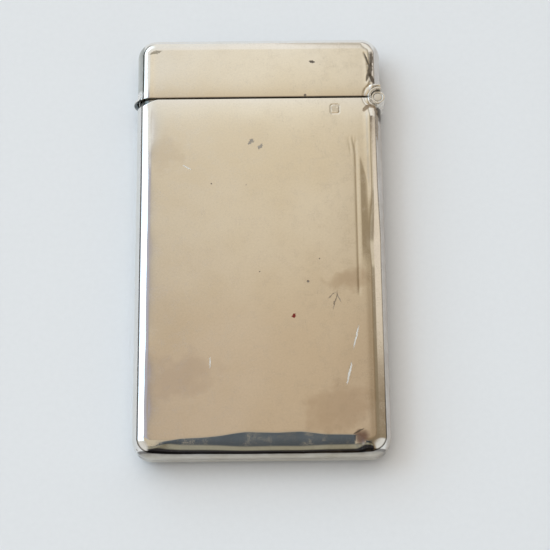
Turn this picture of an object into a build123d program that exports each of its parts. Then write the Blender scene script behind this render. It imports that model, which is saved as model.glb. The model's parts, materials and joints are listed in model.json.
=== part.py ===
from build123d import *

import os

# Flat pocket card case in sheet silver, with a lid that swings sideways on a small three-knuckle hinge.
#
# The case lies on its back: +X towards the hinge side, +Y towards the lid end, +Z out of the front face.
# The origin is under the middle of the case, on the plane that the back rests on. All sizes are millimetres.

# Outer form: a flat block with rounded corners in plan and rolled front and back edges.
width = 50.0
length = 89.0
thickness = 8.5
edge_radius = 3.1
corner_radius = 3.9
wall = 0.5

# Mouth: the plane where the body ends, and the fine gap below the lid.
mouth_y = 30.3
mouth_gap = 0.25

# Collar that stands up out of the body and guides the lid. It stops short of the hinge shoulder.
collar_depth = 4.0
collar_height = 2.6
collar_wall = 0.5
collar_clearance = 0.12
collar_end_gap = 0.1

# Hinge: one axis along Z, just inside the right-hand side and a little above the mouth.
overhang = 0.8
hinge_rise = 0.3
barrel_radius = 1.4
barrel_length = 7.0
outer_knuckle_length = 1.6
knuckle_gap = 0.05
pin_radius = 0.6
pin_head_radius = 0.86
pin_head_length = 0.3
pin_head_clearance = 0.01
running_clearance = 0.03

# Shoulders: curved bearers around the barrel, and the webs that join the knuckles to them.
scallop_radius = 1.5
shoulder_radius = 2.1
web_left = 1.3
web_right = 0.3
web_start = 0.6

# Leaf spring on the right-hand wall of the body, under the lid's knuckle.
anchor_thickness = 0.5
anchor_width = thickness - 2 * edge_radius
anchor_low_y = 12.0
anchor_high_y = 20.0
spring_thickness = 0.3
spring_width = 2.0
spring_foot = 0.8
foot_clearance = 0.06
window_clearance = 0.1
rivet_radius = 0.4
rivet_head_radius = 0.75
rivet_head_length = 0.25
rivet_y = (14.0, 18.0)

# Thumb lip: a half-moon flange on the lid, opposite the hinge.
lip_half_depth = 3.4
lip_thickness = 0.5
lip_flare = 1.0
lip_taper = 45.0

# Places worked out from the sizes above.
middle_z = thickness / 2
lid_edge_y = mouth_y + mouth_gap
inner_side_x = width / 2 - wall
hinge_x = width / 2 + overhang - barrel_radius
hinge_y = mouth_y + hinge_rise
barrel_low_z = middle_z - barrel_length / 2
barrel_high_z = middle_z + barrel_length / 2
spring_outer_x = inner_side_x - anchor_thickness
spring_inner_x = spring_outer_x - spring_thickness
foot_top_y = hinge_y - barrel_radius - foot_clearance

# Well outside the case, for cuts that run right through it.
far = 200.0


def rounded_block(inset):
    """The outer form, shrunk by inset on every side."""
    block = Pos(0, 0, middle_z) * Box(width - 2 * inset, length - 2 * inset, thickness - 2 * inset)
    block = fillet(block.edges().filter_by(Axis.Z), corner_radius - inset)
    rims = block.faces().sort_by(Axis.Z)[0].edges() + block.faces().sort_by(Axis.Z)[-1].edges()
    return fillet(rims, edge_radius - inset)


def slab(low, high):
    """The box between two opposite corners."""
    size = [b - a for a, b in zip(low, high)]
    centre = [(a + b) / 2 for a, b in zip(low, high)]
    return Pos(*centre) * Box(*size)


def hinge_cylinder(radius, low_z, high_z):
    """A cylinder on the hinge axis."""
    return Pos(hinge_x, hinge_y, (low_z + high_z) / 2) * Cylinder(radius, high_z - low_z)


outer = rounded_block(0)
skin = outer - rounded_block(wall)
body_side = slab((-far, -far, -far), (far, mouth_y, far))
lid_side = slab((-far, lid_edge_y, -far), (far, far, far))
front_half = slab((-far, -far, middle_z), (far, far, far))
back_half = slab((-far, -far, -far), (far, far, middle_z))


def shell(side, half):
    """One stamped half of the body or of the lid, cut round where the hinge shoulder goes."""
    return (skin & side & half) - hinge_cylinder(shoulder_radius, -far, far)


def collar():
    """A strip round the front, the left and the back of the mouth, soldered inside the body."""
    inner = rounded_block(wall + collar_wall)
    clear = rounded_block(wall + collar_clearance)
    low = slab((-far, mouth_y - collar_depth, -far), (far, mouth_y, far))
    high = slab((-far, mouth_y, -far), (far, mouth_y + collar_height, far))
    strip = (rounded_block(wall) - inner) & low
    strip += (clear - inner) & high
    hinge_side = slab((hinge_x - shoulder_radius - collar_end_gap, -far, -far), (far, far, far))
    return strip - hinge_side


def shoulder(side):
    """The curved bearer let in around the hinge, flush with the outer form."""
    ring = hinge_cylinder(shoulder_radius, -far, far) - hinge_cylinder(scallop_radius, -far, far)
    return outer & ring & side


def web(direction, low_z, high_z):
    """The short leaf that solders a knuckle to its shoulder. Direction is +1 for the lid, -1 for the body."""
    ring = hinge_cylinder(scallop_radius, low_z, high_z) - hinge_cylinder(barrel_radius, low_z, high_z)
    y_range = sorted((hinge_y + direction * web_start, hinge_y + direction * far))
    return ring & slab((hinge_x - web_left, y_range[0], -far), (hinge_x + web_right, y_range[1], far))


def body_knuckle(low_z, head_low_z):
    """An outer knuckle: it grips the pin, and its outer end is counterbored for the pin's head."""
    high_z = low_z + outer_knuckle_length
    tube = hinge_cylinder(barrel_radius, low_z, high_z) + web(-1, low_z, high_z)
    seat_radius = pin_head_radius + pin_head_clearance
    head_seat = hinge_cylinder(seat_radius, head_low_z, head_low_z + pin_head_length)
    return tube - hinge_cylinder(pin_radius, low_z, high_z) - head_seat


def lid_knuckle():
    """The middle knuckle, which turns on the pin."""
    low_z = barrel_low_z + outer_knuckle_length + knuckle_gap
    high_z = barrel_high_z - outer_knuckle_length - knuckle_gap
    tube = hinge_cylinder(barrel_radius, low_z, high_z) + web(1, low_z, high_z)
    return tube - hinge_cylinder(pin_radius + running_clearance, low_z, high_z)


def pin():
    """The hinge pin with a peened head at each end, flush with the barrel."""
    low_head = hinge_cylinder(pin_head_radius, barrel_low_z, barrel_low_z + pin_head_length)
    high_head = hinge_cylinder(pin_head_radius, barrel_high_z - pin_head_length, barrel_high_z)
    return hinge_cylinder(pin_radius, barrel_low_z, barrel_high_z) + low_head + high_head


def spring():
    """A flat leaf whose upper end turns aside to lie under the lid's knuckle."""
    low_z = middle_z - spring_width / 2
    high_z = middle_z + spring_width / 2
    leaf = slab((spring_inner_x, anchor_low_y, low_z), (spring_outer_x, foot_top_y, high_z))
    foot_end_x = spring_inner_x + spring_foot
    foot = slab((spring_inner_x, foot_top_y - spring_thickness, low_z), (foot_end_x, foot_top_y, high_z))
    return leaf + foot - rivets()


def cross_cylinder(radius, low_x, high_x, y):
    """A cylinder along X at middle height."""
    return Pos((low_x + high_x) / 2, y, middle_z) * Rot(0, 90, 0) * Cylinder(radius, high_x - low_x)


def rivet(y):
    """One rivet across the spring and its anchor, its head on the inside."""
    shank = cross_cylinder(rivet_radius, spring_inner_x, inner_side_x, y)
    head = cross_cylinder(rivet_head_radius, spring_inner_x - rivet_head_length, spring_inner_x, y)
    return shank + head


def rivets():
    """Both rivets, as separate solids of one compound."""
    return Compound(children=[rivet(y) for y in rivet_y])


def anchor():
    """The strip soldered to the wall that holds the spring off it."""
    low = (spring_outer_x, anchor_low_y, middle_z - anchor_width / 2)
    high = (inner_side_x, anchor_high_y, middle_z + anchor_width / 2)
    return slab(low, high) - rivets()


def spring_window():
    """The slot in the body's shoulder that the spring's foot comes through."""
    half = spring_width / 2 + window_clearance
    low = (spring_inner_x - window_clearance, -far, middle_z - half)
    return slab(low, (inner_side_x, hinge_y, middle_z + half))


def lip():
    """A half-moon flange that stands out of the lid's left side and flares into it."""
    end_x = width / 2 - edge_radius + (edge_radius**2 - (edge_radius - middle_z + lip_half_depth) ** 2) ** 0.5
    rise = width / 2 + overhang - end_x
    radius = (lip_half_depth**2 + rise**2) / (2 * rise)
    centre_x = -width / 2 - overhang + radius
    outline = Plane((centre_x, lid_edge_y, middle_z), x_dir=(1, 0, 0), z_dir=(0, 1, 0)) * Circle(radius)
    flange = extrude(outline, lip_thickness)
    flare = extrude(flange.faces().sort_by(Axis.Y)[-1], lip_flare, taper=lip_taper)
    left_side = slab((-far, -far, -far), (centre_x, far, far))
    return ((flange + flare) & left_side) - outer


def main():
    front_knuckle_low_z = barrel_high_z - outer_knuckle_length
    front_head_low_z = barrel_high_z - pin_head_length
    nodes = {
        "body_front_shell": shell(body_side, front_half),
        "body_back_shell": shell(body_side, back_half),
        "body_collar": collar(),
        "body_hinge_shoulder": shoulder(body_side) - spring_window(),
        "hinge_knuckle_front": body_knuckle(front_knuckle_low_z, front_head_low_z),
        "hinge_knuckle_back": body_knuckle(barrel_low_z, barrel_low_z),
        "hinge_pin": pin(),
        "spring_anchor": anchor(),
        "snap_spring": spring(),
        "spring_rivets": rivets(),
        "lid_front_shell": shell(lid_side, front_half),
        "lid_back_shell": shell(lid_side, back_half),
        "lid_hinge_shoulder": shoulder(lid_side),
        "hinge_knuckle_lid": lid_knuckle(),
        "thumb_lip": lip(),
    }
    os.makedirs("parts", exist_ok=True)
    for name, shape in nodes.items():
        export_step(shape, f"parts/{name}.step")
        print(name, "volume", round(shape.volume, 2))


main()
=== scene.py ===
import json
import math
from collections import namedtuple

import bmesh
import bpy
from mathutils import Matrix, Vector, noise


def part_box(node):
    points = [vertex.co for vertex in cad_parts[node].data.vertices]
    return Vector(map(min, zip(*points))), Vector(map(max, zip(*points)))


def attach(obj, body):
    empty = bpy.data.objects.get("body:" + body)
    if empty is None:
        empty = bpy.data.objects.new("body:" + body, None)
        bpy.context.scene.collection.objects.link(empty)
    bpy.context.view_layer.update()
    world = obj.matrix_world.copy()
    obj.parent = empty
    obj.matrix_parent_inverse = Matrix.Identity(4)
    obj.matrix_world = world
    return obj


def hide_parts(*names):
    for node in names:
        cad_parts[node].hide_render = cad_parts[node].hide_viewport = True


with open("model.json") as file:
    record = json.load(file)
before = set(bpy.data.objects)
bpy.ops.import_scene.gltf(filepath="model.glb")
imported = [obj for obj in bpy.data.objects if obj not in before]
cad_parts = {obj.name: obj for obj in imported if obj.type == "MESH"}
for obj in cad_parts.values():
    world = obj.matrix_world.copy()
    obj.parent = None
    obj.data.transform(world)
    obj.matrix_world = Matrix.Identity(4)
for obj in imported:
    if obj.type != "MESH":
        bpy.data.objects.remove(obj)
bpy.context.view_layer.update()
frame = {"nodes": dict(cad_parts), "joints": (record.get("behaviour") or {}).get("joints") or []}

# Every size below is in millimetres, in the frame's own axes, and goes into the meshes in metres:
# +X towards the hinge side, +Y towards the lid end, +Z out of the front face.
MM = 0.001


def box_mm(node):
    """The low and high corners of a node's box."""
    low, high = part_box(node)
    return low / MM, high / MM


# Sizes read from the frame.
body_low, body_high = box_mm("body_front_shell")
lid_low, lid_high = box_mm("lid_front_shell")
collar_low, collar_high = box_mm("body_collar")
pin_low, pin_high = box_mm("hinge_pin")
spring_low, spring_high = box_mm("snap_spring")
rivets_low, rivets_high = box_mm("spring_rivets")
lip_low, lip_high = box_mm("thumb_lip")
half_width = body_high.x
half_length = lid_high.y
thickness = body_high.z
seam_z = body_low.z
mouth_y = body_high.y
lid_edge_y = lid_low.y
hinge_x, hinge_y = (place / MM for place in frame["joints"][0]["pos_m"][:2])

# Sizes of the design that the boxes don't give.
edge_radius = 3.1
corner_radius = 3.9
wall = 0.5
collar_wall = 0.5
collar_clearance = 0.12
overhang = 0.8
barrel_radius = half_width + overhang - hinge_x
shoulder_radius = 2.1
scallop_radius = 1.5
pin_radius = 0.6
pin_head_radius = 0.86
pin_head_length = 0.3
running_clearance = 0.03
lip_thickness = 0.5
spring_thickness = 0.3
spring_bend_radius = 0.4
rivet_radius = 0.4
rivet_head_radius = (rivets_high.z - rivets_low.z) / 2

# Soft edges that the plain solids don't have.
mouth_round = 0.16
lid_round = 0.1
inner_round = 0.1
seam_round = 0.05
knuckle_round = 0.12
plate_round = 0.08
bearer_round = 0.12

# How far the body's rim dips under the thumb lip, and over which length of the body.
thumb_dip = 1.25
thumb_dip_length = 4.0

# A hair's breadth, which keeps an outline off its axis, and the solder between the collar and the wall.
hair = 0.001
solder = 0.01

# Walls whose normal leans up less than this have no wear.
least_facing = 0.02

# The form is every point that lies edge_radius away from this flat core.
core_x = half_width - edge_radius
core_y = half_length - edge_radius
core_z = thickness - edge_radius
core_corner = corner_radius - edge_radius


# ------------------------ small helpers

def smooth_step(value, low, high):
    """0 below low, 1 above high, and smooth between them."""
    share = min(1, max(0, (value - low) / (high - low)))
    return share * share * (3 - 2 * share)


def hill(distance, reach):
    """A bell that is 1 at no distance and fades out past its reach."""
    return math.exp(-(distance / reach) ** 2)


def between(value, line):
    """Reads a broken line, a list of (place, height) with rising places, at a value."""
    if value <= line[0][0]:
        return line[0][1]
    for (a, height_a), (b, height_b) in zip(line, line[1:]):
        if value <= b:
            return height_a + (height_b - height_a) * (value - a) / (b - a)
    return line[-1][1]


def evenly(low, high, step):
    """Places from low to high, about a step apart, both ends included."""
    count = max(1, round((high - low) / step))
    return [low + (high - low) * i / count for i in range(count + 1)]


def merged(*stretches, apart=0.03):
    """One rising list of places from several stretches, without near doubles."""
    places = sorted(place for stretch in stretches for place in stretch)
    kept = [places[0]]
    for place in places[1:]:
        if place - kept[-1] > apart:
            kept.append(place)
    return kept


def arc(low, high, steps):
    """Turns in radians from low to high degrees."""
    return [math.radians(low + (high - low) * i / steps) for i in range(steps + 1)]


def rounded(points, radius, steps=4):
    """A closed outline with every corner rounded off."""
    outline = []
    count = len(points)
    for i in range(count):
        before, corner, after = (Vector(points[(i + k) % count]) for k in (-1, 0, 1))
        first = (before - corner).normalized()
        second = (after - corner).normalized()
        cut = radius / math.tan(first.angle(second) / 2)
        cut = min(cut, (before - corner).length * 0.45, (after - corner).length * 0.45)
        for step in range(steps + 1):
            share = step / steps
            inward = corner + first * cut * (1 - share)
            outward = corner + second * cut * share
            outline.append(tuple(inward.lerp(outward, share)))
    return outline


def new_piece(name, vertices, faces, materials, body, slot, replaced, inside=()):
    """A smooth-shaded mesh from millimetre points, riding its body and standing for its solids.

    The faces whose numbers are in inside take the second material.
    """
    mesh = bpy.data.meshes.new(name)
    mesh.from_pydata([Vector(v) * MM for v in vertices], [], faces)
    for material in materials:
        mesh.materials.append(material)
    for number in inside:
        mesh.polygons[number].material_index = 1
    shaping = bmesh.new()
    shaping.from_mesh(mesh)
    bmesh.ops.remove_doubles(shaping, verts=shaping.verts, dist=1e-9)
    bmesh.ops.recalc_face_normals(shaping, faces=shaping.faces)
    for face in shaping.faces:
        face.smooth = True
    shaping.to_mesh(mesh)
    shaping.free()
    piece = bpy.data.objects.new(name, mesh)
    bpy.context.scene.collection.objects.link(piece)
    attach(piece, body)
    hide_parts(*replaced)


def tube(sections, closed=False):
    """Vertices and faces that join equal closed outlines in a row.

    The two ends are flat, unless the row is closed and runs back into its start.
    """
    count = len(sections[0])
    vertices = [point for section in sections for point in section]
    faces = []
    for step in range(len(sections) if closed else len(sections) - 1):
        here = step * count
        there = (step + 1) % len(sections) * count
        for i in range(count):
            j = (i + 1) % count
            faces.append([here + i, here + j, there + j, there + i])
    if not closed:
        faces.append(list(range(count)))
        faces.append([len(vertices) - count + i for i in range(count)])
    return vertices, faces


def lathe(profile, place, swell=None, segments=96):
    """A closed profile of (radius, height) turned about an axis.

    Place makes a point of two offsets and a height. Swell adds to the outer radius by the turn in degrees.
    """
    sections = []
    for turn in arc(0, 360 - 360 / segments, segments - 1):
        extra = swell(math.degrees(turn)) if swell else 0
        section = []
        for radius, height in profile:
            reach = radius + (extra if radius > barrel_radius - knuckle_round else 0)
            section.append(place(reach * math.cos(turn), reach * math.sin(turn), height))
        sections.append(section)
    return tube(sections, closed=True)


# ------------------------ the case's form

def on_form(x, y, z):
    """The core's point nearest to a point of the bounding box, and the outward normal there."""
    over_x = abs(x) - (core_x - core_corner)
    over_y = abs(y) - (core_y - core_corner)
    near_x = min(core_x, max(-core_x, x))
    near_y = min(core_y, max(-core_y, y))
    if over_x > 0 and over_y > 0:
        share = min(1, core_corner / math.hypot(over_x, over_y))
        near_x = math.copysign(core_x - core_corner + over_x * share, x)
        near_y = math.copysign(core_y - core_corner + over_y * share, y)
    near = Vector((near_x, near_y, min(core_z, max(edge_radius, z))))
    return near, (Vector((x, y, z)) - near).normalized()


def form_height(x):
    """Height of the front surface over the rolled right-hand edge."""
    over = min(edge_radius, max(0, x - core_x))
    return core_z + math.sqrt(edge_radius**2 - over**2)


def notched(point, side, edge):
    """Moves a point near the mouth so that the rim follows the round notch for the hinge."""
    reach = shoulder_radius**2 - (point.x - hinge_x) ** 2
    if reach <= 0:
        return point
    end = hinge_y + side * math.sqrt(reach)
    still_y = edge + side * 8
    if side * (end - edge) <= 0 or side * (still_y - point.y) <= 0:
        return point
    share = (end - still_y) / (edge - still_y)
    return Vector((point.x, still_y + (point.y - still_y) * share, point.z))


def dipped(point):
    """Moves a point so that the body's rim dips under the thumb lip."""
    share = max(0, 1 - (mouth_y - point.y) / thumb_dip_length)
    depth = thumb_dip * smooth_step(-point.x, core_x - 1.5, half_width - 0.7) * share**2
    return Vector((point.x, point.y - depth, point.z))


def roll_places(core):
    """Places past a core edge, from the outside in, that turn the surface in even steps."""
    return [core + edge_radius * math.tan(turn) for turn in arc(45, 0, 11)[:-1]]


def places_across(side, half):
    """Places across the case, close together where the front is rolled, worn or punched."""
    roll = roll_places(core_x)
    if half < 0:
        return merged([-place for place in roll], evenly(-core_x, core_x, 0.9), roll)
    stretches = [
        [-place for place in roll],
        evenly(-core_x, -core_x + 2.4, 0.24),
        evenly(-core_x + 2.4, worn_x - 1.5, 0.5),
        evenly(worn_x - 1.5, core_x, 0.13),
        roll,
    ]
    if side < 0:
        stretches.append(evenly(punch_x - punch_reach, punch_x + punch_reach, 0.09))
    return merged(*stretches)


def places_along(side, half):
    """Places along the case, from the closed end's rolled edge to just short of the rim."""
    length = abs(rim_y(side) - side * core_y)
    short = length - 0.3
    if half < 0:
        along = evenly(0, short, 0.9)
    elif side > 0:
        along = evenly(0, short, 0.17)
    else:
        punched = evenly(punch_y - punch_reach + core_y, punch_y + punch_reach + core_y, 0.09)
        along = merged(evenly(0, 2.4, 0.12), evenly(2.4, short - 3, 0.5), evenly(short - 3, short, 0.25))
        along = merged(along, punched)
    return [side * place for place in roll_places(core_y)] + [side * (core_y - place) for place in along]


def rim_y(side):
    """Where the body's or the lid's rim lies along the case."""
    return mouth_y if side < 0 else lid_edge_y


def rim_rows(side, radius, level, direction):
    """Rows that turn over a rim: pairs of place along the case and depth under the outer surface."""
    rows = []
    for turn in arc(0, 90, 5):
        place = rim_y(side) + side * radius * (1 - math.sin(turn))
        rows.append((place, level + direction * radius * (1 - math.cos(turn))))
    return rows


def pan_skin(last_i, last_j, last_k):
    """The quads of one skin of a pan, by place in its grid: its face, long sides and closed end."""
    face = [[(i, j, last_k), (i + 1, j, last_k), (i + 1, j + 1, last_k), (i, j + 1, last_k)]
            for i in range(last_i) for j in range(last_j)]
    sides = [[(i, j, k), (i, j, k + 1), (i, j + 1, k + 1), (i, j + 1, k)]
             for i in (0, last_i) for j in range(last_j) for k in range(last_k)]
    end = [[(i, 0, k), (i + 1, 0, k), (i + 1, 0, k + 1), (i, 0, k + 1)]
           for i in range(last_i) for k in range(last_k)]
    return face + sides + end


def pan_edges(last_i, last_j, last_k):
    """The two open edges of a pan, as rows of places in its grid: round the rim and round the seam."""
    rim = [(0, last_j, k) for k in range(last_k)]
    rim += [(i, last_j, last_k) for i in range(last_i)]
    rim += [(last_i, last_j, k) for k in range(last_k, -1, -1)]
    seam = [(0, j, 0) for j in range(last_j, 0, -1)]
    seam += [(i, 0, 0) for i in range(last_i)]
    seam += [(last_i, j, 0) for j in range(last_j + 1)]
    return rim, seam


def shell(name, side, half, body, node, materials, wear):
    """One stamped pan, an outer and an inner skin joined round the rim and the seam.

    Side is -1 for the body and +1 for the lid; half is +1 for the front and -1 for the back.
    """
    x_places = places_across(side, half)
    y_places = places_along(side, half)
    z_places = [seam_z, seam_z + seam_round] + evenly(seam_z + 0.35, core_z, 0.4)
    z_places += roll_places(core_z)[::-1]
    rim_round = mouth_round if side < 0 else lid_round
    outer_rows = [(y, 0) for y in y_places] + rim_rows(side, rim_round, 0, 1)
    inner_rows = [(y, wall) for y in y_places] + rim_rows(side, inner_round, wall, -1)
    vertices = []
    numbers = {}

    def vertex(i, j, k, layer):
        key = (i, j, k, layer)
        if key not in numbers:
            y, inset = (inner_rows if layer else outer_rows)[j]
            if k == 0 and not layer:
                inset += seam_round
            near, normal = on_form(x_places[i], y, z_places[k])
            point = notched(near + normal * (edge_radius - inset), side, rim_y(side))
            if side < 0:
                point = dipped(point)
            if not layer and normal.z >= least_facing:
                point.z += wear(point, normal)
            if half < 0:
                point.z = thickness - point.z
            numbers[key] = len(vertices)
            vertices.append(point)
        return numbers[key]

    last = len(x_places) - 1, len(outer_rows) - 1, len(z_places) - 1
    cells = pan_skin(*last)
    faces = [[vertex(*corner, layer) for corner in cell] for layer in (0, 1) for cell in cells]
    inside = range(len(cells), 2 * len(cells))
    for path in pan_edges(*last):
        for a, b in zip(path, path[1:]):
            faces.append([vertex(*a, 0), vertex(*b, 0), vertex(*b, 1), vertex(*a, 1)])
    new_piece(name, vertices, faces, materials, body, "silver", [node], inside)


# ------------------------ a century of wear in the sheet

# The blank punched mark on the front, below the hinge.
punch_x, punch_y = 15.5, 27.7
punch_half_width = 0.88
punch_half_height = 1.0
punch_reach = 1.45
punch_depth = 0.022

# The right-hand edge of the front is worn from this line on.
worn_x = 19.5

# Depth of the hand-raised sheet's ripple, on the front and on the back.
front_ripple = 0.012
back_ripple = 0.02


def bend(distance, slope, blur, reach=2.5):
    """How far a sheet has dropped, at a distance past the line where it bends down and then levels out."""
    past = distance if distance > 12 * blur else blur * math.log1p(math.exp(distance / blur))
    return slope * reach * (1 - math.exp(-past / reach))


def groove(point, start, end, depth, width):
    """Depth of a shallow groove along the line from start to end."""
    start = Vector(start)
    line = Vector(end) - start
    share = (point.xy - start).dot(line) / line.length_squared
    gap = (point.xy - start - line * min(1, max(0, share))).length
    return depth * hill(gap, width)


def ripple(point, depth):
    """The slight unevenness of sheet that was raised and polished by hand."""
    return depth * noise.noise(Vector((point.x / 7, point.y / 9, 2.5)))


def punch(point):
    """Depth of the fine punched outline, an empty upright frame with cut corners."""
    over_x = abs(point.x - punch_x) - punch_half_width
    over_y = abs(point.y - punch_y) - punch_half_height
    cut = (over_x + over_y) * 0.7 + 0.2
    return punch_depth * hill(max(over_x, over_y, cut), 0.12)


# The creases in the worn edge of the front: start, end, depth and width.
body_creases = [
    ((worn_x, 20.6), (worn_x, -12.0), 0.016, 0.28),
    ((18.1, 21.0), (18.5, 18.2), 0.008, 0.2),
    ((18.9, 21.2), (19.3, 18.6), 0.012, 0.2),
]

# Where the front bends down before the closed end's rolled edge, as (x, y).
end_line = [
    (-21.8, -43.5), (-18.0, -41.9), (-15.5, -41.3), (-11.0, -41.1), (-7.9, -40.8), (-5.5, -40.4),
    (-3.2, -40.1), (3.0, -40.3), (7.7, -40.1), (12.3, -40.7), (17.9, -40.8), (18.6, -41.0),
    (19.2, -41.4), (19.8, -42.1), (21.0, -42.6), (21.8, -43.5),
]

# The dented patch beside the right-hand edge, between worn_x and this line, as (y, x).
patch_line = [(-3.0, 22.6), (3.0, 22.4), (8.5, 22.2), (11.0, 21.9), (13.0, 21.4), (17.0, 20.3)]


def hinge_reach(point):
    """Distance from the hinge axis."""
    return math.hypot(point.x - hinge_x, point.y - hinge_y)


def sunk_ends(x, y):
    """The front is sunk at the mouth, and bends down before the closed end's rolled edge."""
    at_mouth = 0.13 * math.exp((y - mouth_y) / 2.2)
    at_closed_end = bend(between(x, end_line) - y, 0.25, 0.07, 6.0)
    raised_corner = 0.15 * hill(y + 42.6, 0.8) * hill(x - 19.9, 1.3)
    return at_mouth + at_closed_end - raised_corner


def worn_left_edge(x, y):
    """The front sinks a little and unevenly towards the left-hand rolled edge."""
    even = 0.03 * math.exp(-max(0, x + core_x) / 0.8)
    uneven = 0.07 * noise.noise(Vector((0.3, y / 6, 8.1))) * math.exp(-abs(x + core_x) / 1.2)
    return even + uneven


def worn_right_edge(x, y):
    """The dented patch, the swollen stretch beside it, and the slope below them."""
    past_patch_edge = max(0, min(x, between(y, patch_line)) - worn_x - 0.8)
    patch = 0.05 * past_patch_edge * smooth_step(y, -7, -1)
    swelling = 0.24 * hill(x - 23.3, 1.0) * smooth_step(y, -1, 12) * (1 - smooth_step(y, 26, 29))
    slope = bend(x - 21.0, 0.03, 0.2) * (1 - smooth_step(y, -2, 4))
    return patch - swelling + slope


def body_wear(point, normal):
    """How far the body's front is raised: worn at both ends and both edges, creased and punched."""
    x, y = point.x, point.y
    drop = sunk_ends(x, y) + worn_left_edge(x, y) + worn_right_edge(x, y)
    drop += sum(groove(point, *crease) for crease in body_creases)
    drop += 0.06 * hill(hinge_reach(point) - 2.9, 0.28) * (1 - smooth_step(x, 24.0, 24.9))
    return (ripple(point, front_ripple) - drop) * normal.z**2 - punch(point)


# The flat pad on the lid around the hinge, and the width of its soft edge.
pad_z = thickness - 0.06
pad_radius = 2.6
pad_blend = 0.35

# The small dents around the lid's right-hand rolled edge, as lines in plan.
lid_dents = [
    ((21.8, 40.3), (22.5, 37.6)), ((22.5, 37.6), (22.6, 35.0)), ((22.6, 35.0), (22.2, 33.9)),
    ((22.7, 35.4), (23.3, 33.7)),
]


def pad_lift(point):
    """How far the lid's rolled edge is raised to the flat pad around the hinge."""
    share = 1 - smooth_step(hinge_reach(point), pad_radius, pad_radius + pad_blend)
    return max(0, pad_z - point.z) * share * smooth_step(point.z, 4.6, 6.0)


def lid_wear(point, normal):
    """How far the lid's front is raised: dented and padded at the hinge, swollen along both edges."""
    drop = sum(groove(point, start, end, 0.02, 0.22) for start, end in lid_dents)
    drop += 0.05 * math.exp((lid_edge_y - point.y) / 1.5)
    drop -= 0.17 * hill(point.x + 23.2, 0.9)
    drop -= 0.20 * hill(point.x - 23.3, 0.8) * (1 - smooth_step(point.y, 41.0, 42.5))
    drop += 0.035 * hill(hinge_reach(point) - pad_radius - pad_blend, 0.2)
    return (ripple(point, front_ripple) - drop) * normal.z**2 + pad_lift(point)


def back_wear(point, normal):
    """The back: only the unevenness of hand-polished sheet, all of it inwards."""
    return (ripple(point, back_ripple) - back_ripple) * normal.z**2


def lid_back_wear(point, normal):
    """The lid's back, which has the same pad around the hinge."""
    return back_wear(point, normal) + pad_lift(point)


# ------------------------ collar

def collar(material):
    """The strip round the front, the left side and the back of the mouth that guides the lid."""
    low_y, high_y = collar_low.y, collar_high.y
    soldered = wall + solder
    clear = wall + collar_clearance
    inner = wall + collar_wall
    outline = [
        (low_y, soldered), (mouth_y, soldered), (mouth_y + 0.05, clear),
        (high_y, clear), (high_y, inner), (low_y, inner),
    ]
    outline = rounded(outline, plate_round)
    roll_x = roll_places(core_x)
    roll_z = roll_places(core_z)
    across = merged([-place for place in roll_x], evenly(-core_x, core_x, 1.0), [core_x, collar_high.x])
    down = roll_z + evenly(core_z, edge_radius, 0.5)[1:-1]
    down += [thickness - place for place in roll_z[::-1]]
    places = [(x, thickness) for x in reversed(across)]
    places += [(-half_width, z) for z in down[1:-1]]
    places += [(x, 0) for x in across]
    sections = []
    for x, z in places:
        near, normal = on_form(x, 0, z)
        section = []
        for y, inset in outline:
            point = near + normal * (edge_radius - inset)
            section.append((point.x, y, point.z))
        sections.append(section)
    new_piece("mouth_collar", *tube(sections), [material], "case", "silver", ["body_collar"])


# ------------------------ hinge

def upright(a, b, height):
    """A point beside the hinge axis."""
    return hinge_x + a, hinge_y + b, height


def leaf(low_turn, high_turn, reach=0.14, blend=8):
    """How far a knuckle swells out to its bearer, between two turns in degrees."""
    def swell(turn):
        rising = smooth_step(turn, low_turn, low_turn + blend)
        falling = 1 - smooth_step(turn, high_turn - blend, high_turn)
        return reach * rising * falling
    return swell


def knuckle(name, node, bore, seat, swell, body, material):
    """One rolled knuckle. Seat is +1 or -1 where its top or bottom end is sunk for the pin's head."""
    low_z, high_z = (corner.z for corner in box_mm(node))
    seat_radius = pin_head_radius + 0.06
    seat_depth = pin_head_length + 0.02
    outline = [(bore, low_z), (barrel_radius, low_z), (barrel_radius, high_z), (bore, high_z)]
    if seat > 0:
        floor_z = high_z - seat_depth
        outline[3:] = [(seat_radius, high_z), (seat_radius, floor_z), (bore, floor_z)]
    if seat < 0:
        floor_z = low_z + seat_depth
        outline[:1] = [(bore, floor_z), (seat_radius, floor_z), (seat_radius, low_z)]
    mesh = lathe(rounded(outline, knuckle_round), upright, swell)
    new_piece(name, *mesh, [material], body, "silver", [node])


def pin(material):
    """The hinge pin, peened at each end into a low head with a slightly domed top."""
    dome = 0.02
    shoulder = pin_high.z - pin_head_length
    head_radius = pin_head_radius - 0.03
    upper = [(pin_radius, shoulder), (head_radius, shoulder)]
    for turn in arc(0, 90, 7):
        upper.append((head_radius * math.cos(turn) + hair, pin_high.z - dome + dome * math.sin(turn)))
    upper.insert(-1, (10 * hair, pin_high.z))
    lower = [(radius, pin_high.z + pin_low.z - height) for radius, height in reversed(upper)]
    mesh = lathe(lower + upper, upright)
    new_piece("pin_with_heads", *mesh, [material], "case", "pin_metal", ["hinge_pin"])


def bearer_top(side, turn, reach):
    """Height of a bearer's front edge: on the lid the pad's, on the body worn down beside the barrel."""
    height = form_height(hinge_x + reach * math.cos(turn))
    if side > 0:
        return max(height, pad_z)
    if reach < shoulder_radius:
        height -= smooth_step(math.degrees(turn), 205, 235)
    return height


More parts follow.
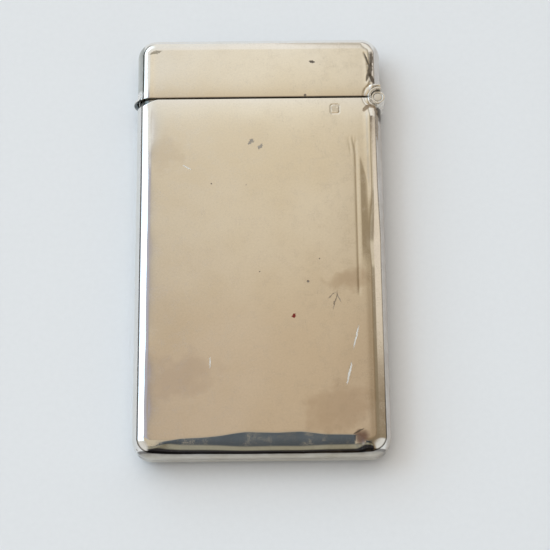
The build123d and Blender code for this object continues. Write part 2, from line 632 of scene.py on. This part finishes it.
def bearer(name, side, body, node, material):
    """The curved bearer let in around the barrel. On the lid it stands up as far as the barrel's end."""
    start = 180 - side * math.degrees(math.asin((rim_y(side) - hinge_y) * side / shoulder_radius))
    end = 67 if side > 0 else 360 - 67
    outer_reach = shoulder_radius + 0.02
    sections = []
    for turn in arc(end, start, 48):
        inner_top = bearer_top(side, turn, scallop_radius)
        outer_top = bearer_top(side, turn, outer_reach)
        outline = [
            (scallop_radius, thickness - inner_top), (outer_reach, thickness - outer_top),
            (outer_reach, outer_top), (scallop_radius, inner_top),
        ]
        section = []
        for reach, z in rounded(outline, bearer_round):
            x = min(half_width, hinge_x + reach * math.cos(turn))
            section.append((x, hinge_y + reach * math.sin(turn), z))
        sections.append(section)
    new_piece(name, *tube(sections), [material], body, "silver", [node])


# ------------------------ thumb lip

def inside_form(x, z):
    """Whether a point of the middle stretch lies inside the case's outer form."""
    near, _ = on_form(x, 0, z)
    return math.hypot(x - near.x, z - near.z) < edge_radius


def lip_outline(skin, radius):
    """Pairs of reach and place along the case, round the flange and up the hollow flare."""
    flange_y = lid_edge_y + lip_thickness
    flare = lip_high.y - flange_y
    root = skin - 0.3
    low_round = 0.08
    high_round = 0.1
    outline = [(root, lid_edge_y)]
    for turn in arc(0, 90, 3):
        inward = low_round * (1 - math.sin(turn))
        outline.append((radius - inward, lid_edge_y + low_round * (1 - math.cos(turn))))
    for turn in arc(0, 80, 4):
        inward = high_round * (1 - math.cos(turn))
        outline.append((radius - inward, flange_y - high_round * (1 - math.sin(turn))))
    for turn in arc(8, 90, 8):
        hollow = (radius - high_round - skin) * math.sin(turn)
        outline.append((radius - high_round - hollow, flange_y + flare * (1 - math.cos(turn))))
    outline.append((root, flange_y + flare))
    return outline


def thumb_lip(material):
    """A half-moon flange with a hollow flare that runs up into the lid's left side."""
    half_depth = (lip_high.z - lip_low.z) / 2
    end_x = core_x + math.sqrt(edge_radius**2 - (seam_z + half_depth - core_z) ** 2)
    rise = -lip_low.x - end_x
    radius = (half_depth**2 + rise**2) / (2 * rise)
    centre_x = lip_low.x + radius
    half_turn = math.degrees(math.asin(half_depth / radius))
    sections = []
    for turn in arc(-half_turn, half_turn, 40):
        out_x, out_z = -math.cos(turn), math.sin(turn)
        skin = 0
        while skin < radius and inside_form(centre_x + skin * out_x, seam_z + skin * out_z):
            skin += 0.01
        outline = lip_outline(skin, radius)
        sections.append([(centre_x + reach * out_x, y, seam_z + reach * out_z) for reach, y in outline])
    new_piece("flared_thumb_lip", *tube(sections), [material], "lid", "silver", ["thumb_lip"])


# ------------------------ spring

def leaf_spring(material):
    """The flat leaf, bent over at its upper end to lie under the lid's knuckle."""
    middle_x = spring_low.x + spring_thickness / 2
    foot_y = spring_high.y - spring_thickness / 2
    path = [(middle_x, y) for y in evenly(spring_low.y, foot_y - spring_bend_radius, 1.0)]
    for turn in arc(10, 90, 6):
        over = spring_bend_radius * (1 - math.cos(turn))
        short = spring_bend_radius * (1 - math.sin(turn))
        path.append((middle_x + over, foot_y - short))
    path.append((spring_high.x, foot_y))
    half = spring_thickness / 2
    outline = [(-half, spring_low.z), (half, spring_low.z), (half, spring_high.z), (-half, spring_high.z)]
    outline = rounded(outline, plate_round)
    sections = []
    for i, (x, y) in enumerate(path):
        ahead = Vector(path[min(i + 1, len(path) - 1)]) - Vector(path[max(i - 1, 0)])
        ahead.normalize()
        sections.append([(x + ahead.y * offset, y - ahead.x * offset, z) for offset, z in outline])
    new_piece("leaf_spring", *tube(sections), [material], "case", "spring_metal", ["snap_spring"])


def rivet_pair(material):
    """Two round-headed rivets through the leaf and its anchor."""
    head_x = rivets_low.x
    plate_x = spring_low.x
    profile = [(hair, rivets_high.x), (rivet_radius, rivets_high.x), (rivet_radius, plate_x)]
    for turn in arc(0, 90, 6):
        radius = rivet_head_radius * math.cos(turn) + hair
        profile.append((radius, plate_x - (plate_x - head_x) * math.sin(turn)))
    vertices = []
    faces = []
    for y in (rivets_low.y + rivet_head_radius, rivets_high.y - rivet_head_radius):
        points, skin = lathe(profile, lambda a, b, height: (height, y + a, seam_z + b), segments=32)
        faces += [[number + len(vertices) for number in face] for face in skin]
        vertices += points
    new_piece("rivet_pair", vertices, faces, [material], "case", "spring_metal", ["spring_rivets"])


# ------------------------ materials

# The brown of a tarnished pit, and how high the fine relief of the metal stands.
pit_brown = (0.16, 0.11, 0.08, 1)
bump_height = 0.006


class Nodes:
    """Short ways to add shader nodes to one tree."""

    def __init__(self, tree):
        self.tree = tree

    def add(self, kind, inputs=None, **settings):
        node = self.tree.nodes.new(kind)
        for name, value in settings.items():
            setattr(node, name, value)
        self.feed(node, inputs or {})
        return node

    def feed(self, node, inputs):
        """Links the inputs that are sockets, and sets the others."""
        for name, value in inputs.items():
            if isinstance(value, bpy.types.NodeSocket):
                self.tree.links.new(value, node.inputs[name])
            else:
                node.inputs[name].default_value = value

    def math(self, operation, a, b=0.0, c=0.0):
        return self.add("ShaderNodeMath", {0: a, 1: b, 2: c}, operation=operation).outputs[0]

    def times(self, a, b):
        return self.math("MULTIPLY", a, b)

    def move(self, operation, a, b=(0, 0, 0)):
        return self.add("ShaderNodeVectorMath", {0: a, 1: b}, operation=operation).outputs[0]

    def mix(self, share, a, b, blend="MIX"):
        node = self.add("ShaderNodeMix", {0: share, 6: a, 7: b}, data_type="RGBA", blend_type=blend)
        return node.outputs[2]

    def fade(self, value, low, high, to_low=0.0, to_high=1.0):
        """Smoothly from to_low to to_high as the value goes from low to high."""
        inputs = {0: value, 1: low, 2: high, 3: to_low, 4: to_high}
        return self.add("ShaderNodeMapRange", inputs, interpolation_type="SMOOTHSTEP").outputs[0]

    def noise(self, place, scale, detail=3.0, rough=0.55):
        inputs = {"Vector": place, "Scale": scale, "Detail": detail, "Roughness": rough}
        return self.add("ShaderNodeTexNoise", inputs).outputs["Fac"]

    def parts(self, vector):
        return self.add("ShaderNodeSeparateXYZ", {0: vector}).outputs

    def ramp(self, value, stops, low, high):
        """A colour ramp over a value from low to high, from a list of (value, colour)."""
        share = self.add("ShaderNodeMapRange", {0: value, 1: low, 2: high}).outputs[0]
        node = self.add("ShaderNodeValToRGB", {0: share})
        elements = node.color_ramp.elements
        while len(elements) < len(stops):
            elements.new(1.0)
        for element, (place, colour) in zip(elements, stops):
            element.position = (place - low) / (high - low)
            element.color = (*colour, 1)
        return node.outputs[0]


def new_material(name):
    material = bpy.data.materials.new(name)
    material.use_nodes = True
    tree = material.node_tree
    tree.nodes.clear()
    nodes = Nodes(tree)
    shader = nodes.add("ShaderNodeBsdfPrincipled")
    nodes.add("ShaderNodeOutputMaterial", {"Surface": shader.outputs[0]})
    return material, nodes, shader


def scaled(nodes, vector, factor):
    """A vector times one number."""
    return nodes.add("ShaderNodeVectorMath", {0: vector, "Scale": factor}, operation="SCALE").outputs[0]


def turned(nodes, place, degrees):
    """A place turned about Z, so that a line at that turn from +X comes to lie along X."""
    inputs = {"Vector": place, "Angle": math.radians(-degrees)}
    return nodes.add("ShaderNodeVectorRotate", inputs, rotation_type="Z_AXIS").outputs[0]


def wandering(nodes, place, scale):
    """A field of small shifts that makes the outline of a mark ragged."""
    field = nodes.add("ShaderNodeTexNoise", {"Vector": place, "Scale": scale}).outputs["Color"]
    return nodes.move("SUBTRACT", field, (0.5, 0.5, 0.5))


def stroke(nodes, place, wander, mark):
    """A mask that is 1 inside a small oval on the front, and fades all the way out if the oval is broad."""
    shift = scaled(nodes, wander, mark.ragged * mark.half_size[1] * 4)
    centred = nodes.move("SUBTRACT", nodes.move("ADD", place, shift), (*mark.centre, 0))
    in_oval = nodes.move("DIVIDE", turned(nodes, centred, mark.turn), (*mark.half_size, 1))
    along, across, _ = nodes.parts(in_oval)
    reach = nodes.math("ADD", nodes.times(along, along), nodes.times(across, across))
    return nodes.fade(reach, 0.0 if is_broad(mark) else 0.35, 1.0, 1.0, 0.0)


def is_broad(mark):
    """Whether a mark is a cloud and not a line or a nick."""
    return mark.half_size[1] > 1


def hairlines(nodes, place, turn, fine, along):
    """Long fine polishing scratches at a turn from +X: a mask of thin broken lines."""
    stretched = nodes.move("MULTIPLY", turned(nodes, place, turn), (along, fine, 1.0))
    field = nodes.noise(stretched, 1.0, 2.0, 0.6)
    off_middle = nodes.math("ABSOLUTE", nodes.math("SUBTRACT", field, 0.5))
    return nodes.fade(off_middle, 0.0, 0.02, 1.0, 0.0)


def scratches(nodes, place):
    """Two sets of crossing hairlines, broken up in patches."""
    across = hairlines(nodes, place, 12, 9.0, 0.22)
    along = hairlines(nodes, place, 97, 7.0, 0.16)
    lines = nodes.math("MAXIMUM", across, along)
    return nodes.times(lines, nodes.fade(nodes.noise(place, 0.5, 3.0), 0.45, 0.62))


def pits(nodes, place):
    """A few tiny round pits of different sizes, in one cell out of five."""
    cells = nodes.add("ShaderNodeTexVoronoi", {"Vector": place, "Scale": 0.42})
    chance, spread, _ = nodes.parts(cells.outputs["Color"])
    size = nodes.times(nodes.math("POWER", spread, 3.0), 0.12)
    pit = nodes.fade(nodes.math("SUBTRACT", cells.outputs["Distance"], size), 0.0, 0.025, 1.0, 0.0)
    return nodes.times(pit, nodes.fade(chance, 0.80, 0.86))


def painted_facing_shade(nodes, place, facing, facing_shades, colour):
    """Painted shade: darkens the faces that point along an axis, with a mottled strength, by pairs of its
    number and stops over the normal.
    """
    for axis, stops in facing_shades:
        mottled = nodes.fade(nodes.noise(place, 0.35, 4.0), 0.25, 0.75, 0.72, 1.0)
        shade_colour = nodes.ramp(facing[axis], stops, -1, 1)
        colour = nodes.mix(mottled, colour, nodes.mix(1.0, colour, shade_colour, "MULTIPLY"))
    return colour


def marked(nodes, place, marks, colour, roughness, height):
    """Colour, roughness and height of the metal with the marks drawn over it."""
    fine_wander = wandering(nodes, place, 1.7)
    broad_wander = wandering(nodes, place, 0.3)
    for mark in marks:
        mask = stroke(nodes, place, broad_wander if is_broad(mark) else fine_wander, mark)
        colour = nodes.mix(nodes.times(mask, mark.strength), colour, (*mark.stain, 1))
        roughness = nodes.math("ADD", roughness, nodes.times(mask, 0.5 * mark.depth))
        height = nodes.math("SUBTRACT", height, nodes.times(mask, mark.depth))
    return colour, roughness, height


def silver(name, clean, tarnish, rough, marks=(), facing_shades=(), dull=0.0):
    """Old polished silver: faint clouds, polishing hairlines and tiny pits, under any painted shade by
    facing and any marks.
    """
    material, nodes, shader = new_material(name)
    coordinates = nodes.add("ShaderNodeTexCoord").outputs
    place = scaled(nodes, coordinates["Object"], 1 / MM)
    facing = nodes.parts(coordinates["Normal"])

    broad = nodes.fade(nodes.noise(place, 0.045, 2.0), 0.35, 0.65)
    cloud = nodes.fade(nodes.noise(place, 0.16, 5.0, 0.62), 0.42, 0.74)
    grain = nodes.noise(place, 2.6, 4.0, 0.7)
    lines = scratches(nodes, place)
    pit = pits(nodes, place)

    shade = nodes.fade(grain, 0.3, 0.7, 0.975, 1.02)
    grey = nodes.add("ShaderNodeCombineColor", {0: shade, 1: shade, 2: shade}).outputs[0]
    colour = nodes.mix(nodes.times(broad, 0.5), clean, tarnish)
    colour = nodes.mix(nodes.times(cloud, 0.30 + dull), colour, tarnish)
    colour = nodes.mix(1.0, colour, grey, "MULTIPLY")
    colour = nodes.mix(nodes.times(pit, 0.75), colour, pit_brown)
    # Painted shade by the way the faces point.
    colour = painted_facing_shade(nodes, place, facing, facing_shades, colour)

    roughness = nodes.fade(cloud, 0.0, 1.0, rough, rough * 1.2)
    roughness = nodes.math("ADD", roughness, nodes.times(lines, 0.10))
    roughness = nodes.math("ADD", roughness, nodes.times(pit, 0.3))
    height = nodes.times(grain, 0.35)
    height = nodes.math("SUBTRACT", height, nodes.times(lines, 0.25))
    height = nodes.math("SUBTRACT", height, nodes.times(pit, 1.5))
    colour, roughness, height = marked(nodes, place, marks, colour, roughness, height)

    bump = nodes.add("ShaderNodeBump", {"Strength": 0.35, "Distance": bump_height * MM, "Height": height})
    normal = bump.outputs[0]
    nodes.feed(shader, {"Base Color": colour, "Metallic": 1.0, "Roughness": roughness, "Normal": normal})
    return material


# One mark on the front: its half size is half its length and half its width, and its turn is that of its
# length from +X in degrees. Strength mixes the stain in, and depth is how far it is sunk.
Mark = namedtuple("Mark", "centre half_size turn stain strength ragged depth")

# A near black, for dark stains and for painted shade and painted dark reflections.
soot_and_shade = (0.10, 0.08, 0.06)
umber = (0.33, 0.25, 0.17)
bright = (1.0, 0.98, 0.95)
red = (0.30, 0.015, 0.02)


def tarnish_and_shade_cloud(centre, half_size, turn, stain, strength, ragged=0.35):
    """A broad soft cloud of tarnish, used once for a band of painted shade."""
    return Mark(centre, half_size, turn, stain, strength, ragged, 0)


def crack(centre, half_size, turn, strength):
    """One fine ragged line of a branching crack in the polish."""
    return Mark(centre, half_size, turn, umber, strength, 1.2, 0.6)


def scratch(centre, half_size, turn, strength=0.9):
    """A fresh bright scratch."""
    return Mark(centre, half_size, turn, bright, strength, 0.4, 1.0)


def tarnished_dent_and_painted_shade(centre, half_size, turn, stain=soot_and_shade, strength=0.85, ragged=0.25):
    """A narrow sunk dark mark: a dent darkened by tarnish, and also the painted shade under the hinge and
    the painted dark reflections on the lid's right-hand rolled edge.
    """
    return Mark(centre, half_size, turn, stain, strength, ragged, 0.3)


front_marks = [
    tarnish_and_shade_cloud((-15.5, -29.0), (9.0, 6.0), 20, (0.66, 0.60, 0.60), 0.36),
    tarnish_and_shade_cloud((17.3, -9.5), (4.8, 3.2), 15, (0.58, 0.49, 0.40), 0.55, 0.45),
    tarnish_and_shade_cloud((-19.3, 18.5), (6.0, 4.5), 70, (0.72, 0.66, 0.60), 0.36),
    tarnish_and_shade_cloud((15.0, -35.5), (9.0, 6.0), 30, (0.62, 0.53, 0.43), 0.45),
    # Painted shade: a brown band along the right half of the closed end's wall, over its pale reflection.
    tarnish_and_shade_cloud((14.0, -45.6), (11.0, 1.5), 0, (0.42, 0.36, 0.26), 0.8, 0.3),
    tarnish_and_shade_cloud((19.4, -41.5), (1.9, 1.9), 0, (0.22, 0.145, 0.145), 0.9, 0.3),
    tarnished_dent_and_painted_shade((18.6, -40.2), (1.4, 0.2), 28, soot_and_shade, 0.7, 0.5),
    Mark((-1.9, 20.5), (0.95, 0.42), 45, soot_and_shade, 0.5, 0.9, 0.6),
    Mark((0.1, 19.4), (0.85, 0.36), 65, soot_and_shade, 0.45, 0.9, 0.6),
    Mark((15.5, 27.7), (0.9, 1.0), 0, umber, 0.3, 0.6, 0),
    crack((14.7, -13.6), (2.3, 0.15), 75, 0.8),
    crack((14.0, -12.6), (1.2, 0.13), 40, 0.7),
    crack((15.4, -13.2), (1.3, 0.13), 115, 0.6),
    scratch((18.6, -21.2), (2.9, 0.20), 76),
    scratch((17.1, -28.6), (2.8, 0.24), 77),
    scratch((-9.9, -26.2), (1.4, 0.14), 90, 0.8),
    scratch((-14.6, 15.0), (1.2, 0.14), -30, 0.8),
    Mark((6.5, -16.8), (0.58, 0.44), 80, red, 0.95, 0.4, 0.3),
    # Painted shade under the hinge, drawn as tarnished dents: the brown arch round the body's notch, the
    # dark shade down the wall below the barrel and the dark line on the rolled edge below it.
    tarnished_dent_and_painted_shade((21.9, 27.9), (1.1, 0.5), 50, umber, 0.8, 0.4),
    tarnished_dent_and_painted_shade((22.9, 28.4), (1.2, 0.5), 0, umber, 0.8, 0.4),
    tarnished_dent_and_painted_shade((24.0, 27.4), (1.6, 0.5), -65, umber, 0.8, 0.4),
    tarnished_dent_and_painted_shade((24.7, 27.4), (2.6, 0.8), 90, soot_and_shade, 0.95, 0.3),
    tarnished_dent_and_painted_shade((24.0, 24.2), (4.2, 0.38), 90, umber, 0.7, 0.3),
]
lid_marks = [
    Mark((11.0, 38.4), (0.75, 0.36), -10, soot_and_shade, 0.85, 0.5, 0.6),
    tarnished_dent_and_painted_shade((-21.2, 40.9), (1.5, 0.42), 14, (0.38, 0.36, 0.30), 0.8, 0.5),
    # The cross of dark streaks on the lid's right-hand rolled edge: painted dark reflections of the room,
    # laid into the shallow dents there as tarnish.
    tarnished_dent_and_painted_shade((22.25, 38.8), (1.9, 0.26), -73),
    tarnished_dent_and_painted_shade((23.2, 39.0), (2.0, 0.44), 88),
    tarnished_dent_and_painted_shade((22.9, 36.5), (2.0, 0.56), 83),
    tarnished_dent_and_painted_shade((22.25, 34.7), (1.1, 0.30), 80, soot_and_shade, 0.7, 0.3),
    tarnished_dent_and_painted_shade((23.2, 34.5), (1.4, 0.52), -72, soot_and_shade, 0.9),
    Mark((-24.5, 31.6), (1.4, 1.3), 0, bright, 0.9, 0.3, 0.5),
]

# Painted shade on the walls of the case: how much darker they are drawn by the way they face along Y and
# along X, standing in for the shadowed table and the dark room that they reflect, with a near-black painted
# line low on the closed end's rolled edge.
end_painted_shade = [
    (-1, (0.68, 0.65, 0.58)), (-0.91, (0.48, 0.45, 0.40)), (-0.815, (0.36, 0.34, 0.31)),
    (-0.79, (0.09, 0.08, 0.08)), (-0.70, (0.08, 0.07, 0.07)), (-0.668, (1, 1, 1)), (0.74, (1, 1, 1)),
    (0.84, (0.70, 0.71, 0.70)), (0.89, (0.50, 0.52, 0.51)), (1, (0.48, 0.50, 0.49)),
]
side_painted_shade = [
    (-1, (0.84, 0.86, 0.88)), (-0.75, (0.84, 0.86, 0.88)), (-0.6, (1, 1, 1)), (0.6, (1, 1, 1)),
    (0.75, (0.55, 0.51, 0.49)), (1, (0.55, 0.51, 0.49)),
]
lid_side_painted_shade = [
    (-1, (0.66, 0.69, 0.69)), (-0.80, (0.50, 0.53, 0.53)), (-0.66, (0.42, 0.45, 0.44)), (-0.58, (1, 1, 1)),
    (0.6, (1, 1, 1)), (0.75, (0.66, 0.63, 0.62)), (1, (0.66, 0.63, 0.62)),
]
# Painted shade on the thumb lip's underside, near black where it faces towards the body.
lip_underside_painted_shade = [
    (-1, (0.07, 0.09, 0.095)), (-0.55, (0.10, 0.12, 0.125)), (-0.25, (1, 1, 1)), (1, (1, 1, 1)),
]
# Painted shade on the collar where it shows in the gap under the lid: near black on its left side under the
# thumb lip, and about half as bright elsewhere.
collar_painted_shade = [
    (-1, (0.07, 0.09, 0.095)), (-0.25, (0.09, 0.11, 0.115)), (0, (0.45, 0.43, 0.39)),
    (1, (0.6, 0.57, 0.52)),
]


# ------------------------ studio

# Light in the studio by how far a direction leans from straight up towards +Y, in degrees.
overhead_stops = [
    (-100, (0.030, 0.028, 0.030)), (-60.5, (0.030, 0.028, 0.030)), (-54, (0.30, 0.285, 0.22)),
    (-40, (0.30, 0.285, 0.22)), (-35, (0.07, 0.08, 0.09)), (-7, (0.10, 0.12, 0.14)),
    (-2, (0.40, 0.35, 0.28)), (12.5, (0.50, 0.40, 0.28)), (15, (0.53, 0.42, 0.30)),
    (18, (0.57, 0.46, 0.33)), (21, (0.65, 0.56, 0.42)), (24, (0.70, 0.61, 0.46)),
    (26.5, (0.82, 0.76, 0.63)), (32, (0.88, 0.85, 0.78)), (100, (0.90, 0.88, 0.84)),
]

# What that light is multiplied by as the direction leans towards +X.
sideways_stops = [
    (-16, (0.62, 0.62, 0.74)), (-9, (0.66, 0.67, 0.78)), (-5.5, (0.86, 0.89, 0.94)),
    (-4, (0.94, 0.94, 0.95)), (-1, (1.0, 1.0, 1.0)), (1.5, (0.99, 0.98, 0.96)),
    (3.2, (0.90, 0.88, 0.86)), (5, (0.72, 0.69, 0.64)), (8, (0.48, 0.44, 0.38)), (16, (0.40, 0.36, 0.30)),
]

# Light low on the right, by the part of a direction along +Y: the nearer band, then the one beyond it.
near_right_stops = [
    (0.20, (0.23, 0.18, 0.12)), (0.29, (0.26, 0.21, 0.14)), (0.335, (0.30, 0.25, 0.18)),
    (0.35, (0.34, 0.29, 0.21)), (0.362, (0.64, 0.57, 0.44)), (0.412, (0.62, 0.54, 0.42)),
    (0.422, (0.24, 0.19, 0.14)), (0.43, (0.12, 0.09, 0.07)), (0.44, (0.16, 0.13, 0.10)),
    (0.452, (0.30, 0.27, 0.22)), (0.465, (0.84, 0.82, 0.77)),
]
far_right_stops = [
    (0.20, (0.26, 0.21, 0.14)), (0.285, (0.28, 0.22, 0.15)), (0.305, (0.66, 0.58, 0.47)),
    (0.34, (0.76, 0.68, 0.57)), (0.415, (0.70, 0.62, 0.52)), (0.424, (0.34, 0.28, 0.22)),
    (0.431, (0.50, 0.45, 0.38)), (0.44, (0.74, 0.69, 0.62)),
]

# Light behind the camera, to its left and right, by the height of a direction in degrees.
behind_stops = [
    (0, (0.08, 0.075, 0.07)), (9, (0.20, 0.19, 0.17)), (17, (0.70, 0.70, 0.68)),
    (45, (0.64, 0.63, 0.60)), (70, (0.42, 0.38, 0.32)), (90, (0.40, 0.35, 0.28)),
]

# The window, the two shades of the wall beside it, the dark gap under it and the warm corner below it.
window_light = (1.65, 2.1, 2.5, 1)
wall_near = (0.43, 0.42, 0.48, 1)
wall_far = (0.84, 0.84, 0.80, 1)
under_window = (0.10, 0.11, 0.11, 1)
warm_corner = (0.56, 0.49, 0.37, 1)

# The foot of the right-hand wall, and what the camera itself sees past the table.
skirting_near = (0.04, 0.035, 0.03, 1)
skirting_far = (0.30, 0.27, 0.24, 1)
backdrop = (0.78, 0.80, 0.82, 1)

# Directions along +Y between these two parts are reflected by the rolled edges at the mouth line.
mouth_part = (0.428, 0.436)


def left_side(nodes, colour, overhead, lean_x, lean_y, y):
    """The pale wall on the left, and the warm corner low down beside it."""
    pale = nodes.mix(nodes.fade(y, 0.395, 0.425), wall_near, wall_far)
    left = nodes.mix(nodes.fade(lean_y, 12, 4), pale, overhead)
    nearer = nodes.math("ADD", lean_x, nodes.fade(y, *mouth_part, 0.0, -3.5))
    colour = nodes.mix(nodes.fade(nearer, -6, -12), colour, left)
    corner = nodes.times(nodes.fade(lean_y, 10, 6), nodes.fade(lean_y, -38, -33))
    corner = nodes.times(corner, nodes.fade(lean_x, -2.9, -3.7))
    return nodes.mix(corner, colour, warm_corner)


def right_side(nodes, colour, lean_x, rise, y):
    """The two bands of light on the right, with a dark skirting at the bottom of the far one."""
    colour = nodes.mix(nodes.fade(lean_x, 9, 16), colour, nodes.ramp(y, near_right_stops, 0.2, 0.5))
    skirting = nodes.mix(nodes.fade(y, 0.27, 0.31), skirting_near, skirting_far)
    far = nodes.mix(nodes.fade(rise, 2, 14), skirting, nodes.ramp(y, far_right_stops, 0.2, 0.5))
    past = nodes.math("SUBTRACT", lean_x, nodes.fade(y, *mouth_part, 0.0, 20.0))
    return nodes.mix(nodes.fade(past, 27, 35), colour, far)


def window(nodes, colour, rise, x, y):
    """The broad tall window on the left, lower towards the lid end, and the dark gap under it."""
    from_left = nodes.math("DEGREES", nodes.math("ARCTAN2", y, nodes.times(x, -1.0)))
    wide = nodes.times(nodes.fade(from_left, -30, -15), nodes.fade(from_left, 65, 85, 1.0, 0.0))
    lowered = nodes.math("ADD", nodes.fade(y, 0.38, 0.42, 0.0, 6.0), nodes.fade(y, 0.428, 0.44, 0.0, 10.0))
    top = nodes.fade(nodes.math("ADD", rise, lowered), 54, 60, 1.0, 0.0)
    tall = nodes.times(nodes.fade(rise, 14, 19), top)
    gap = nodes.times(nodes.fade(rise, 15, 7), wide)
    colour = nodes.mix(gap, colour, under_window)
    return nodes.mix(nodes.times(tall, wide), colour, window_light)


def studio_world():
    """A plain soft studio: one broad window on the left, a warm ceiling, darker behind the camera."""
    world = bpy.data.worlds.new("studio")
    bpy.context.scene.world = world
    world.use_nodes = True
    tree = world.node_tree
    tree.nodes.clear()
    nodes = Nodes(tree)
    x, y, z = nodes.parts(nodes.add("ShaderNodeTexCoord").outputs["Generated"])
    lean_y = nodes.math("DEGREES", nodes.math("ARCTAN2", y, z))
    lean_x = nodes.math("DEGREES", nodes.math("ARCTAN2", x, z))
    rise = nodes.math("DEGREES", nodes.math("ARCSINE", z))

    overhead = nodes.ramp(lean_y, overhead_stops, -100, 100)
    sideways = nodes.ramp(lean_x, sideways_stops, -16, 16)
    colour = nodes.mix(1.0, overhead, sideways, "MULTIPLY")
    colour = left_side(nodes, colour, overhead, lean_x, lean_y, y)
    colour = right_side(nodes, colour, lean_x, rise, y)
    colour = window(nodes, colour, rise, x, y)

    off_middle = nodes.fade(nodes.math("ABSOLUTE", x), 0.25, 0.5)
    aside = nodes.times(off_middle, nodes.fade(y, 0.0, -0.15))
    colour = nodes.mix(aside, colour, nodes.ramp(rise, behind_stops, 0, 90))

    seen = nodes.add("ShaderNodeLightPath").outputs["Is Camera Ray"]
    colour = nodes.mix(seen, colour, backdrop)
    background = nodes.add("ShaderNodeBackground", {"Color": colour, "Strength": 1.0})
    nodes.add("ShaderNodeOutputWorld", {"Surface": background.outputs[0]})


def fill_light():
    """A large soft lamp nearly overhead, a little to the left, for the table and its shadows alone."""
    data = bpy.data.lights.new("fill", "AREA")
    data.shape = "DISK"
    data.size = 1.7
    data.energy = 8.9
    data.color = (1.0, 0.98, 0.95)
    lamp = bpy.data.objects.new("fill", data)
    bpy.context.scene.collection.objects.link(lamp)
    place = Vector((-0.22, 0.14, 1.2))
    lamp.matrix_world = Matrix.Translation(place) @ place.to_track_quat("Z", "Y").to_matrix().to_4x4()
    lamp.visible_glossy = False
    lamp.visible_camera = False


def table():
    """The plain pale table top that the case lies on."""
    reach = 6.0
    level = -0.02 * MM
    mesh = bpy.data.meshes.new("table_top")
    corners = [(x * reach, y * reach, level) for x, y in ((-1, -1), (1, -1), (1, 1), (-1, 1))]
    mesh.from_pydata(corners, [], [(0, 1, 2, 3)])
    material, nodes, shader = new_material("pale_table")
    place = nodes.add("ShaderNodeTexCoord").outputs["Object"]
    grain = nodes.noise(place, 900, 4.0)
    colour = nodes.mix(grain, (0.700, 0.718, 0.745, 1), (0.740, 0.758, 0.785, 1))
    nodes.feed(shader, {"Base Color": colour, "Roughness": 0.7})
    mesh.materials.append(material)
    top = bpy.data.objects.new("table_top", mesh)
    bpy.context.scene.collection.objects.link(top)


def camera():
    """The camera: nearly overhead, leaning back towards the closed end."""
    lean = math.radians(20)
    turn = math.radians(-0.12)
    roll = math.radians(-0.62)
    distance = 365.3
    aim = Vector((2.91, -6.62, 4.0))
    data = bpy.data.cameras.new("camera")
    data.sensor_width = 36
    data.lens = 119.6
    data.clip_start = 0.01
    eye = bpy.data.objects.new("camera", data)
    bpy.context.scene.collection.objects.link(eye)
    back = Vector((math.sin(turn) * math.cos(lean), -math.sin(lean), math.cos(lean) * math.cos(turn)))
    back.normalize()
    right = Vector((0, 1, 0)).cross(back).normalized()
    up = back.cross(right)
    right_rolled = right * math.cos(roll) + up * math.sin(roll)
    up_rolled = up * math.cos(roll) - right * math.sin(roll)
    axes = Matrix((right_rolled, up_rolled, back)).transposed().to_4x4()
    eye.matrix_world = Matrix.Translation((aim + back * distance) * MM) @ axes
    bpy.context.scene.camera = eye


# ------------------------ putting it together

bpy.context.scene.view_settings.view_transform = "Standard"
camera()
studio_world()
fill_light()
table()

silver_white = (0.94, 0.92, 0.89, 1)
silver_warm = (0.88, 0.83, 0.74, 1)
silver_dull = (0.74, 0.70, 0.64, 1)
silver_brown = (0.45, 0.38, 0.30, 1)
# Painted shade on the pans' walls, read along the normal's Y and X.
body_painted_shade = [(1, end_painted_shade), (0, side_painted_shade)]
lid_painted_shade = [(1, end_painted_shade), (0, lid_side_painted_shade)]
# The thumb lip's underside and the collar carry painted shade.
lip_silver = silver("lip_silver", silver_white, silver_warm, 0.10, (), [(1, lip_underside_painted_shade)])
collar_silver = silver("collar_silver", silver_dull, silver_brown, 0.22, (), [(0, collar_painted_shade)])
inside_silver = silver("inside_silver", silver_dull, silver_brown, 0.24, dull=0.3)
hinge_silver = silver("hinge_silver", (0.98, 0.97, 0.95, 1), (0.88, 0.84, 0.77, 1), 0.24)
pin_metal = silver("pin_metal", (0.97, 0.95, 0.91, 1), (0.86, 0.82, 0.75, 1), 0.30)
spring_metal = silver("spring_metal", (0.60, 0.61, 0.63, 1), (0.36, 0.33, 0.31, 1), 0.28, dull=0.2)

pans = [
    ("body_front", -1, 1, "case", 0.07, front_marks, body_painted_shade, body_wear),
    ("body_back", -1, -1, "case", 0.09, (), body_painted_shade, back_wear),
    ("lid_front", 1, 1, "lid", 0.07, lid_marks, lid_painted_shade, lid_wear),
    ("lid_back", 1, -1, "lid", 0.09, (), lid_painted_shade, lid_back_wear),
]
for name, side, half, body, rough, marks, facing_shades, wear in pans:
    metal = silver(f"{name}_silver", silver_white, silver_warm, rough, marks, facing_shades)
    shell(f"{name}_pan", side, half, body, f"{name}_shell", [metal, inside_silver], wear)
collar(collar_silver)
thumb_lip(lip_silver)

body_leaf = leaf(195, 285)
lid_leaf = leaf(75, 160)
loose_bore = pin_radius + running_clearance
knuckle("front_knuckle", "hinge_knuckle_front", pin_radius, 1, body_leaf, "case", hinge_silver)
knuckle("back_knuckle", "hinge_knuckle_back", pin_radius, -1, body_leaf, "case", hinge_silver)
knuckle("lid_knuckle", "hinge_knuckle_lid", loose_bore, 0, lid_leaf, "lid", hinge_silver)
pin(pin_metal)
bearer("lid_bearer", 1, "lid", "lid_hinge_shoulder", hinge_silver)
bearer("body_bearer", -1, "case", "body_hinge_shoulder", hinge_silver)

leaf_spring(spring_metal)
rivet_pair(spring_metal)
frame["nodes"]["spring_anchor"].data.materials.clear()
frame["nodes"]["spring_anchor"].data.materials.append(inside_silver)
